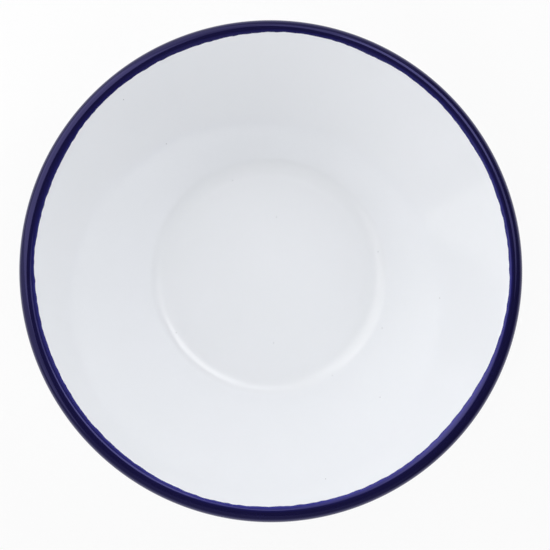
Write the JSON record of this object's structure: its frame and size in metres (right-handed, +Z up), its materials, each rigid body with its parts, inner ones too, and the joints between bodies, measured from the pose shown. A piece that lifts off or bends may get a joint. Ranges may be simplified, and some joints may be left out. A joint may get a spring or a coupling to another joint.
{
  "type": "enamel bowl",
  "caption": "Round enamelled steel basin bowl with a conical wall, a flat standing ring under the base and a blue rolled rim, for mixing, serving or washing food.",
  "frame": {"origin": "middle of the base, on the plane that the standing ring touches", "axes": "+Z up along the bowl's axis, out of its mouth; the bowl is round, so +X and +Y are free"},
  "size_m": [0.24, 0.24, 0.058],
  "materials": {
    "sheet_steel": "pressed, bare under the enamel",
    "ground_enamel": "fired, dark",
    "white_enamel": "fired, glossy",
    "blue_enamel": "fired, glossy"
  },
  "bodies": {
    "root": {"steel_shell": "sheet_steel", "ground_coat_inside": "ground_enamel", "ground_coat_outside": "ground_enamel", "white_enamel_inside": "white_enamel", "white_enamel_outside": "white_enamel", "blue_rim_enamel": "blue_enamel"}
  },
  "joints": []
}
